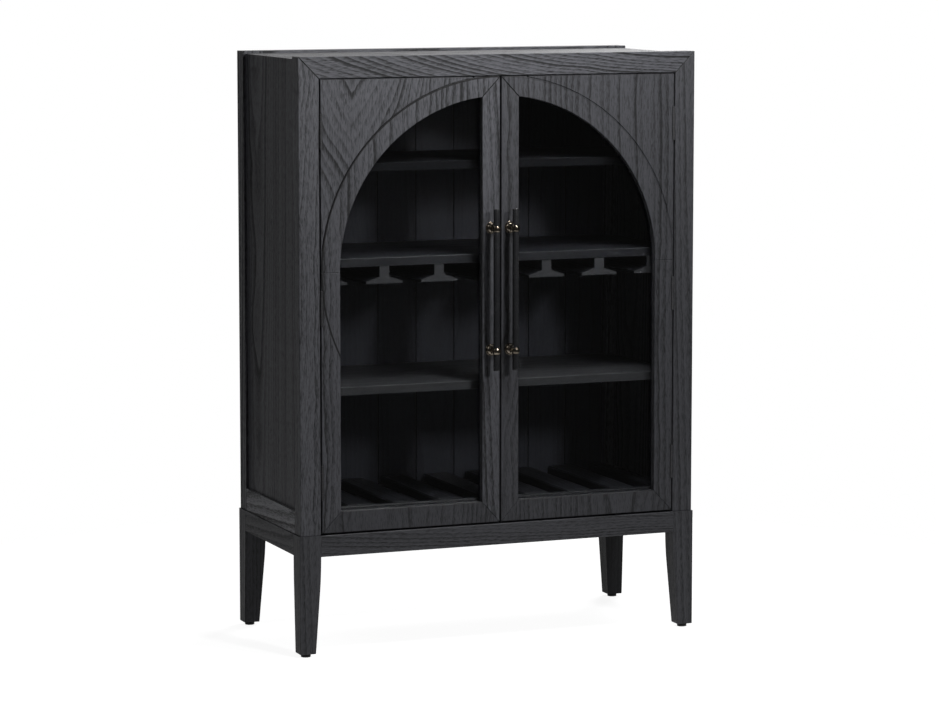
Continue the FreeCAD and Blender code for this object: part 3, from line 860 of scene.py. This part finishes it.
@dataclass
class ScrewSet:
    """Cross-slotted screws that share a body, as one piece.

    The slot's reach and half width are shares of the radius, its depth is a share of the sink below the rise,
    and the rim's ease is a share of the rise.
    """

    name: str
    body: str
    radius: float = 3.2 * MM
    rise: float = 0.2 * MM
    sink: float = 0.4 * MM
    sides: int = 20
    rim_ease: float = 0.8
    rim_steps: int = 3
    slot_reach: float = 0.58
    slot_half: float = 0.13
    slot_depth: float = 0.7
    sharp: float = 30.0

    def build(self, places: Sequence[tuple[Vector, Vector]], material: bpy.types.Material) -> None:
        """Makes the screws.

        Args:
            places: For each screw, the point on the surface and the direction out of it.
            material: The screws' finish.
        """
        mesh = bmesh.new()
        for point, out in places:
            head = bmesh.new()
            self._head(head)
            turned = out.to_track_quat("Z", "Y").to_matrix().to_4x4()
            bmesh.ops.transform(head, matrix=Matrix.Translation(point) @ turned, verts=head.verts)
            data = bpy.data.meshes.new("head")
            head.to_mesh(data)
            head.free()
            mesh.from_mesh(data)
            bpy.data.meshes.remove(data)
        finish_piece(mesh, self.name, self.body, material, sharp=self.sharp)

    def _head(self, head: bmesh.types.BMesh) -> None:
        """Shapes one head on the XY plane: a low dome with a cross pressed into it.

        Args:
            head: An empty mesh.
        """
        bmesh.ops.create_circle(head, cap_ends=True, segments=self.sides, radius=self.radius)
        bottom = head.faces[:]
        bmesh.ops.translate(head, verts=head.verts, vec=(0, 0, -self.sink))
        grown = bmesh.ops.extrude_face_region(head, geom=bottom)["geom"]
        top = [entry for entry in grown if isinstance(entry, bmesh.types.BMVert)]
        bmesh.ops.translate(head, verts=top, vec=(0, 0, self.sink + self.rise))
        rim = [edge for edge in head.edges if all(vert in top for vert in edge.verts)]
        bmesh.ops.bevel(head, geom=rim, offset=self.rise * self.rim_ease, affect="EDGES",
                        segments=self.rim_steps, profile=0.5, material=-1)
        reach = self.slot_reach * self.radius
        half = self.slot_half * self.radius
        crown = max(vert.co.z for vert in head.verts) - FLAT_DISTANCE
        for normal in (Vector((1, 0, 0)), Vector((0, 1, 0))):
            for offset in (-reach, -half, half, reach):
                cap = [face for face in head.faces if face.calc_center_median().z > crown]
                geom = cap + list({edge for face in cap for edge in face.edges})
                geom += list({vert for face in cap for vert in face.verts})
                bmesh.ops.bisect_plane(head, geom=geom, plane_co=normal * offset, plane_no=normal,
                                       dist=CUT_DISTANCE)
        cross = [face for face in head.faces
                 if face.calc_center_median().z > crown
                 and max(abs(v) for v in face.calc_center_median().xy) < reach
                 and min(abs(v) for v in face.calc_center_median().xy) < half]
        pressed = bmesh.ops.extrude_face_region(head, geom=cross)["geom"]
        verts = [entry for entry in pressed if isinstance(entry, bmesh.types.BMVert)]
        bmesh.ops.delete(head, geom=cross, context="FACES")
        bmesh.ops.translate(head, verts=verts, vec=(0, 0, -self.rise - self.sink * self.slot_depth))


@dataclass
class Base:
    """The base frame: legs, aprons, corner braces and levelling glides."""

    pad_radius: float = 11.5 * MM
    pad_height: float = 6.0 * MM
    pad_ease: float = 1.2 * MM
    pad_steps: int = 5
    neck_radius: float = 9.0 * MM
    neck_top: float = 8.0 * MM
    stud_radius: float = 4.0 * MM
    stud_top: float = 26.0 * MM
    sides: int = 40

    def build(self) -> None:
        """Dresses the wood and makes the turned glides."""
        corners = [end + "_" + side.word for end in ("front", "rear") for side in Side]
        for index, corner in enumerate(corners):
            grain = Grain.UPRIGHT_FRONT if corner.startswith("front") else Grain.UPRIGHT_SIDE
            # painted shade: the rear right leg takes the darkest copy
            finish = SHADED_OAK if corner == "rear_right" else QUIET_OAK
            Board("leg_" + corner, grain, Figure(70.0, 150.0, 0.02, 8.0, 11.0 + index), finish).dress()
        for board in (
                Board("apron_front", Grain.LEVEL_FRONT, Figure(60.0, 70.0, 0.05, 6.0, 16.0), EDGED_OAK),
                Board("apron_rear", Grain.LEVEL_FRONT, Figure(-30.0, 140.0, 0.015, 9.0, 17.0), DARK_OAK),
                Board("apron_left", Grain.INWARD_SIDE, Figure(40.0, 120.0, 0.03, 9.0, 18.0), DARK_OAK),
                Board("apron_right", Grain.INWARD_SIDE, Figure(40.0, 130.0, 0.03, 9.0, 19.0), DARK_OAK),
                Board("corner_braces", Grain.UPRIGHT_FRONT, Figure(90.0, 90.0, 0.02, 8.0, 20.0), INSIDE)):
            board.dress()
        plastic = PLASTIC.material("glide_plastic")
        for corner in corners:
            self._glide(corner, plastic)

    def _glide(self, corner: str, plastic: bpy.types.Material) -> None:
        """Turns one glide, with its stud in the leg.

        Args:
            corner: The leg's corner.
            plastic: The glide's finish.
        """
        node = "glide_" + corner
        spot = middle_of(node)
        spot.z = 0.0
        ease = (self.pad_ease, self.pad_ease)
        side = self.pad_radius - self.pad_ease
        profile = [(0.0, 0.0)]
        profile += arc((side, self.pad_ease), ease, -90, 0, self.pad_steps)
        profile += arc((side, self.pad_height - self.pad_ease), ease, 0, 90, self.pad_steps)
        profile += [(self.neck_radius, self.pad_height), (self.neck_radius, self.neck_top)]
        profile += [(self.stud_radius, self.neck_top), (self.stud_radius, self.stud_top)]
        profile += [(0.0, self.stud_top)]
        mesh = bmesh.new()
        turn(mesh, profile, spot, UP, self.sides)
        finish_piece(mesh, "turned_" + node, corner + "_glide", plastic, [node])


@dataclass
class Case:
    """The outer case: face frame, rear frame, sides and top."""

    def build(self) -> None:
        """Dresses each board of the case."""
        # painted shade along the face frame's upper mitres
        left, right = (self._mitre(side) for side in Side)
        boards = [
            Board("front_stile_left", Grain.UPRIGHT_FRONT, Figure(-70.0, 90.0, 0.03, 9.0, 1.0), PALE_OAK, (left,)),
            Board("front_stile_right", Grain.UPRIGHT_FRONT, Figure(60.0, 110.0, 0.02, 9.0, 2.0), QUIET_OAK,
                  (right,)),
            Board("front_top_rail", Grain.LEVEL_FRONT, Figure(120.0, 130.0, 0.22, 6.5, 3.0), RAIL_OAK,
                  (left, right))]
        for side in Side:
            word, sign = side.word, side.value
            boards += [
                Board("rear_post_" + word, Grain.UPRIGHT_SIDE, Figure(50.0, 120.0, 0.02, 9.0, 4.0 + sign)),
                Board("side_rail_" + word, Grain.INWARD_SIDE, Figure(30.0, 90.0, 0.03, 9.0, 6.0 + sign), SIDE_OAK),
                Board("side_panel_" + word, Grain.UPRIGHT_SIDE, Figure(90.0, 150.0, 0.02, 8.0, 8.0 + sign))]
        boards += [
            Board("rear_top_rail", Grain.LEVEL_FRONT, Figure(20.0, 90.0, 0.03, 9.0, 10.0)),
            Board("rear_bottom_rail", Grain.LEVEL_FRONT, Figure(20.0, 90.0, 0.03, 9.0, 10.5)),
            Board("top_panel", Grain.LEVEL_TOP, Figure(30.0, 150.0, 0.1, 12.0, 9.5), DARK_OAK)]
        for board in boards:
            board.dress()

    def _mitre(self, side: Side) -> MitreJoint:
        """The joint at an upper corner of the face frame.

        Args:
            side: The corner's side.

        Returns:
            The joint, from the outer corner to the inner one.
        """
        rail_low, rail_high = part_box("front_top_rail")
        upper = (outer_edge("front_top_rail", side), rail_high.z)
        return MitreJoint(upper, (inner_edge("front_stile_" + side.word, side), rail_low.z))


@dataclass
class Interior:
    """What the glass shows: back, shelves, stemware rails and bottle rack."""

    groove_depth: float = 2.0 * MM
    groove_lip: float = 0.3 * MM
    end_depth: float = 0.7 * MM
    end_margin: float = 1.0 * MM

    def build(self) -> None:
        """Dresses the boards inside the case."""
        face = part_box("back_panel")[0].y
        # painted shade in the back panel's grooves
        grooves = FaceBand(face + self.groove_lip, face + self.groove_depth + self.groove_lip)
        boards = [
            Board("back_panel", Grain.UPRIGHT_FRONT, Figure(0.0, 60.0, 0.05, 12.0, 30.0), BACK, (grooves,)),
            Board("floor_panel", Grain.LEVEL_TOP, Figure(0.0, 90.0, 0.05, 12.0, 31.0), INSIDE),
            Board("shelf_upper", Grain.LEVEL_TOP, Figure(20.0, 110.0, 0.08, 12.0, 32.0), HIGH_SHELF),
            Board("shelf_stemware", Grain.LEVEL_TOP, Figure(20.0, 110.0, 0.08, 12.0, 33.0), SHELF),
            Board("shelf_lower", Grain.LEVEL_TOP, Figure(20.0, 110.0, 0.08, 12.0, 34.0), LOW_SHELF)]
        for index, node in enumerate(("stem_battens", "stem_flanges")):
            figure = Figure(0.0, 80.0, 0.05, 10.0, 36.0 + index)
            boards.append(Board(node, Grain.INWARD_TOP, figure, INSIDE, (self._ends(node),)))
        boards += [
            Board("bottle_slats", Grain.INWARD_TOP, Figure(0.0, 80.0, 0.05, 10.0, 38.0), INSIDE),
            Board("rack_rails", Grain.LEVEL_FRONT, Figure(20.0, 80.0, 0.02, 9.0, 40.0), RACK)]
        for board in boards:
            board.dress()
        dress_all(["shelf_pins"], STEEL.material("pin_steel"))
        dress_all(["magnetic_catches"], PLASTIC.material("catch_plastic"))

    def _ends(self, node: str) -> FaceBand:
        """A paler band over the front ends of the stemware rails."""
        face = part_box(node)[0].y
        return FaceBand(face - self.end_margin, face + self.end_depth, PALE_END_TONE)


@dataclass
class Handle:
    """A dark bar on two turned brass posts."""

    side: Side
    spacing: float = 288.0 * MM
    bar_ease: float = 1.6 * MM
    bar_ease_steps: int = 6
    bar_sides: int = 64
    collar_radius: float = 10.0 * MM
    collar_end: float = 8.8 * MM
    collar_half: float = 7.0 * MM
    collar_ease: float = 0.6 * MM
    collar_steps: int = 6
    neck_radius: float = 5.0 * MM
    rosette_radius: float = 14.0 * MM
    rosette_rim: float = 3.0 * MM
    rosette_height: float = 11.0 * MM
    rosette_ease: float = 0.7 * MM
    rosette_ease_steps: int = 4
    dome_end: float = 84.0
    dome_steps: int = 14
    post_sides: int = 56
    post_sharp: float = 30.0

    def build(self, bar_finish: bpy.types.Material, post_finish: bpy.types.Material) -> None:
        """Turns the bar and its posts.

        Args:
            bar_finish: The bar's material.
            post_finish: The posts' material.
        """
        word = self.side.word
        low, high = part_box(f"handle_{word}_bar")
        spot = (low + high) / 2
        radius = (high.x - low.x) / 2
        self._bar(Vector((spot.x, spot.y, low.z)), radius, high.z - low.z, bar_finish)
        door_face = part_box(f"handle_{word}_posts")[1].y
        mesh = bmesh.new()
        for height in (spot.z - self.spacing / 2, spot.z + self.spacing / 2):
            foot = Vector((spot.x, door_face, height))
            self._rosette(mesh, foot, door_face - spot.y - radius)
            self._collar(mesh, foot + FORWARD * (door_face - spot.y), radius)
        finish_piece(mesh, f"turned_posts_{word}", word + "_door", post_finish,
                     [f"handle_{word}_posts"], self.post_sharp)

    def _bar(self, start: Vector, radius: float, length: float, material: bpy.types.Material) -> None:
        """Turns the bar with eased ends.

        Args:
            start: The middle of its lower end.
            radius: Its radius.
            length: Its length.
            material: Its finish.
        """
        ease = (self.bar_ease, self.bar_ease)
        side = radius - self.bar_ease
        profile = [(0.0, 0.0)]
        profile += arc((side, self.bar_ease), ease, -90, 0, self.bar_ease_steps)
        profile += arc((side, length - self.bar_ease), ease, 0, 90, self.bar_ease_steps)
        profile += [(0.0, length)]
        mesh = bmesh.new()
        turn(mesh, profile, start, UP, self.bar_sides)
        word = self.side.word
        finish_piece(mesh, f"turned_bar_{word}", word + "_door", material,
                     [f"handle_{word}_bar"])

    def _rosette(self, mesh: bmesh.types.BMesh, foot: Vector, length: float) -> None:
        """Turns a domed rosette with its neck.

        Args:
            mesh: The mesh that takes them.
            foot: The middle of the rosette on the door.
            length: How far the neck reaches from the door.
        """
        ease = self.rosette_ease
        dome = (self.rosette_radius - self.neck_radius - 2 * ease, self.rosette_height - self.rosette_rim)
        profile = [(0.0, 0.0), (self.rosette_radius, 0.0)]
        profile += arc((self.rosette_radius - ease, self.rosette_rim - ease), (ease, ease), 0, 90,
                       self.rosette_ease_steps)
        profile += arc((self.neck_radius, self.rosette_rim), dome, 0, self.dome_end, self.dome_steps)
        profile += [(self.neck_radius, self.rosette_height), (self.neck_radius, length), (0.0, length)]
        turn(mesh, profile, foot, FORWARD, self.post_sides)

    def _collar(self, mesh: bmesh.types.BMesh, centre: Vector, bar_radius: float) -> None:
        """Turns the swelled collar round the bar.

        Args:
            mesh: The mesh that takes it.
            centre: The collar's middle, on the bar's axis.
            bar_radius: The bar's radius.
        """
        half, ease, end, steps = self.collar_half, self.collar_ease, self.collar_end, self.collar_steps
        swell = self.collar_radius - end
        side = half - ease
        profile = [(bar_radius, -half), (end - ease, -half), (end, ease - half)]
        profile += [(end + swell * math.cos(math.pi / 2 * step / steps), side * step / steps)
                    for step in range(1 - steps, steps)]
        profile += [(end, side), (end - ease, half), (bar_radius, half)]
        turn(mesh, profile, centre, UP, self.post_sides, closed=True)


@dataclass
class Door:
    """One glazed door with its half of the arch, hinge leaves and strike.

    The veneer is the spandrel's cut, its heart counted from the cabinet's middle. The line is how strong the
    painted shade along the joint round the arch is.
    """

    side: Side
    veneer: Figure
    line: float
    finish: OakFinish

    def build(self, glass: bpy.types.Material, hinge: bpy.types.Material, strike: bpy.types.Material) -> None:
        """Dresses the door's boards, glass and fittings.

        Args:
            glass: The pane's material.
            hinge: The hinge leaves' material.
            strike: The strike plate's material.
        """
        word, sign = self.side.word, self.side.value
        stem = f"door_{word}_"
        # painted shade along the mitre at the arch's crown
        crown = self._crown(stem)
        self._veneered(stem, crown)
        seed = 50.0 + sign * 5
        grain = Grain.UPRIGHT_FRONT
        for board in (
                Board(stem + "meeting_stile", grain, Figure(-50.0 * sign, 90.0, 0.03, 9.0, seed + 1), self.finish,
                      (crown,)),
                Board(stem + "bottom_rail", grain, Figure(90.0 * sign, 140.0, 0.04, 10.0, seed + 2), LOW_DOOR_OAK),
                Board(stem + "glass_stops", grain, Figure(0.0, 60.0, 0.02, 8.0, seed + 3), INSIDE)):
            board.dress()
        dress_all([stem + "glass"], glass)
        dress_all([f"hinge_{word}_door_leaves"], hinge)
        dress_all([f"strike_plate_{word}"], strike)

    def _crown(self, stem: str) -> MitreJoint:
        """The mitre at the crown of the arch, between the meeting stile and the arch band.

        Args:
            stem: The start of the door's node names.

        Returns:
            The joint.
        """
        band_low, band_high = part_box(stem + "arch_band")
        opening = outer_edge(stem + "meeting_stile", self.side)
        radius = inner_edge(stem + "hinge_stile", self.side)
        lower = (opening, band_low.z + math.sqrt(radius ** 2 - opening ** 2))
        return MitreJoint((inner_edge(stem + "arch_band", self.side), band_high.z), lower)

    def _veneered(self, stem: str, crown: MitreJoint) -> None:
        """Gives the spandrel its figure of veneer, and the arch band and the hinge stile straight grain.

        Args:
            stem: The start of the door's node names.
            crown: The mitre at the top of the arch band.
        """
        nodes = [stem + name for name in ("spandrel", "arch_band", "hinge_stile")]
        boxes = [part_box(node) for node in nodes]
        low = Vector(min(box[0][axis] for box in boxes) for axis in range(3))
        high = Vector(max(box[1][axis] for box in boxes) for axis in range(3))
        middle = (low.x + high.x) / 2 / MM
        band_low, band_high = boxes[1]
        # painted shade along the joint round the arch
        arch = RoundJoint(Vector((0.0, 0.0, band_low.z)), band_high.z - band_low.z, self.line)
        figured = replace(self.veneer, across=self.veneer.across - middle)
        straight = replace(STRAIGHT, across=self.side.value * STRAIGHT.across - middle, seed=self.veneer.seed)
        for name, figure, boards in (("veneer", figured, nodes[:1]), ("frame", straight, nodes[1:])):
            material = self.finish.material(stem + name, Grain.UPRIGHT_FRONT, figure, low, high, (arch, crown))
            dress_all(boards, material)


@dataclass
class HingeScrews:
    """The screws in the leaves of the butt hinges, three to a leaf."""

    leaf: float = 1.2 * MM
    leaf_depth: float = 16.0 * MM
    height: float = 78.0 * MM
    spread: float = 27.0 * MM

    def build(self, material: bpy.types.Material) -> None:
        """Makes one set of screws for the frame and one for each door.

        Args:
            material: The screws' finish.
        """
        frame_places = []
        for side in Side:
            word, sign = side.word, side.value
            in_frame = inner_edge("front_stile_" + word, side) - sign * self.leaf
            in_door = outer_edge(f"door_{word}_hinge_stile", side) + sign * self.leaf
            low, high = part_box(f"hinge_{word}_door_leaves")
            y = high.y - self.leaf_depth / 2
            hinges = (low.z + self.height / 2, (low.z + high.z) / 2, high.z - self.height / 2)
            heights = [middle + step for middle in hinges for step in (-self.spread, 0.0, self.spread)]
            out = Vector((-sign, 0.0, 0.0))
            frame_places += [(Vector((in_frame, y, z)), out) for z in heights]
            door_places = [(Vector((in_door, y, z)), -out) for z in heights]
            ScrewSet(f"hinge_screws_{word}_door", word + "_door").build(door_places, material)
        ScrewSet("hinge_screws_frame", "cabinet").build(frame_places, material)


@dataclass(frozen=True)
class Softbox:
    """A rectangular lamp, placed by degrees right of the front and above level and by metres from its target."""

    name: str
    azimuth: float
    elevation: float
    distance: float
    size: tuple[float, float]
    watts: float
    target: Point

    def build(self) -> None:
        """Hangs the lamp and turns it to its target."""
        level, rise = math.radians(self.azimuth), math.radians(self.elevation)
        across = math.cos(rise)
        out = Vector((math.sin(level) * across, -math.cos(level) * across, math.sin(rise)))
        data = bpy.data.lights.new(self.name, "AREA")
        data.shape = "RECTANGLE"
        data.size, data.size_y = self.size
        data.energy = self.watts
        lamp = bpy.data.objects.new(self.name, data)
        lamp.location = Vector(self.target) + out * self.distance
        lamp.rotation_euler = out.to_track_quat("Z", "Y").to_euler()
        bpy.context.scene.collection.objects.link(lamp)
        LOG.info("hung %s", self.name)


FRONT: Point = (0.0, -0.2, 0.85)
LAMPS = (
    Softbox("key_softbox", 15.0, 21.5, 3.6, (0.4, 0.5), 35.5, FRONT),
    Softbox("crown_softbox", 22.0, 50.0, 1.1, (0.22, 0.45), 16.5, (-0.12, -0.2, 1.3)),
    Softbox("fill_softbox", -8.0, 24.0, 3.6, (1.2, 1.2), 2.0, FRONT),
    Softbox("left_softbox", -84.0, 38.0, 3.2, (0.7, 1.3), 9.5, (-0.3, 0.0, 0.9)),
    Softbox("rear_softbox", 135.0, 40.0, 3.2, (1.2, 1.2), 35.0, (0.1, 0.2, 0.8)))


@dataclass
class Studio:
    """The camera at the photograph's angle, soft lamps, the pale floor and the white surround.

    Mirrors see the surround bright on the far side, within far_span of the level direction far, and dim elsewhere.
    """

    eye: Point = (-3.1357, -7.763, 1.7013)
    tilt: float = 82.99
    pan: float = -22.01
    lens: float = 134.38
    sensor: float = 36.0
    clip_end: float = 100.0
    lamps: tuple[Softbox, ...] = LAMPS
    floor_radius: float = 1.7
    floor_sides: int = 96
    floor_grey: Colour = (0.5, 0.5, 0.5)
    floor_glow: float = 0.9
    floor_mirrored: float = 0.25
    fill: float = 0.04
    dim: float = 0.03
    far: tuple[float, float] = (0.6, 0.8)
    far_span: Span = (0.5, 0.9)
    white: Colour = (1.0, 1.0, 1.0)

    def build(self) -> None:
        """Sets up the view, the lamps, the floor and the world."""
        self._camera()
        for lamp in self.lamps:
            lamp.build()
        self._floor()
        self._world()

    def _camera(self) -> None:
        """Adds the camera and makes it the scene's."""
        data = bpy.data.cameras.new("photo_view")
        data.sensor_fit = "HORIZONTAL"
        data.sensor_width = self.sensor
        data.lens = self.lens
        data.clip_end = self.clip_end
        camera = bpy.data.objects.new("photo_view", data)
        camera.location = self.eye
        camera.rotation_euler = (math.radians(self.tilt), 0.0, math.radians(self.pan))
        bpy.context.scene.collection.objects.link(camera)
        bpy.context.scene.camera = camera

    def _floor(self) -> None:
        """Lays the pale floor, which keeps the cabinet's soft shadow."""
        mesh = bmesh.new()
        bmesh.ops.create_circle(mesh, cap_ends=True, segments=self.floor_sides, radius=self.floor_radius)
        data = bpy.data.meshes.new("pale_floor")
        mesh.to_mesh(data)
        mesh.free()
        material, graph = new_material("pale_floor")
        straight, mirrored = graph.sight()
        strength = straight * self.floor_glow + mirrored * self.floor_mirrored
        glow = graph.node("ShaderNodeEmission", sockets={"Strength": strength})
        matt = graph.node("ShaderNodeBsdfDiffuse", sockets={"Color": rgba(self.floor_grey)})
        graph.surface(graph.node("ShaderNodeAddShader", sockets={0: glow, 1: matt}))
        data.materials.append(material)
        floor = bpy.data.objects.new("pale_floor", data)
        bpy.context.scene.collection.objects.link(floor)

    def _world(self) -> None:
        """Makes a white surround for the camera, with a dark room in front for reflections."""
        world = bpy.data.worlds.new("studio")
        bpy.context.scene.world = world
        world.use_nodes = True
        graph = Graph(world.node_tree)
        direction = graph.node("ShaderNodeTexCoord", output="Generated")
        x, y = (graph.node("ShaderNodeSeparateXYZ", sockets={0: direction}, output=axis) for axis in "XY")
        behind = (x * self.far[0] + y * self.far[1]).step(*self.far_span)
        straight, mirrored = graph.sight()
        reflected = behind * (1.0 - self.dim) + self.dim
        strength = straight + mirrored * reflected + (1.0 - straight - mirrored) * self.fill
        background = graph.node("ShaderNodeBackground", sockets={"Strength": strength, "Color": rgba(self.white)})
        graph.node("ShaderNodeOutputWorld", sockets={"Surface": background})


def main() -> None:
    """Builds the cabinet's looks, sub-assembly by sub-assembly, and the studio."""
    logging.basicConfig(level=logging.INFO, format="%(name)s: %(message)s")
    bpy.context.scene.view_settings.view_transform = "Standard"
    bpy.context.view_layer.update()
    Base().build()
    Case().build()
    Interior().build()
    glass = GLASS.material("clear_glass")
    hinge = PAINTED_METAL.material("hinge_paint")
    strike = STEEL.material("strike_steel")
    bar = BLACK_METAL.material("bar_black")
    brass = BRASS.material("post_brass")
    dress_all(["hinge_frame_leaves", "hinge_pins"], hinge)
    left = Door(Side.LEFT, CHEVRONS, line=1.0, finish=DOOR_OAK)
    right = Door(Side.RIGHT, STRAIGHT, line=0.25, finish=DARK_DOOR_OAK)
    for door in (left, right):
        door.build(glass, hinge, strike)
        Handle(door.side).build(bar, brass)
    HingeScrews().build(PAINTED_METAL.material("screw_paint"))
    Studio().build()


if __name__ == "__main__":
    main()
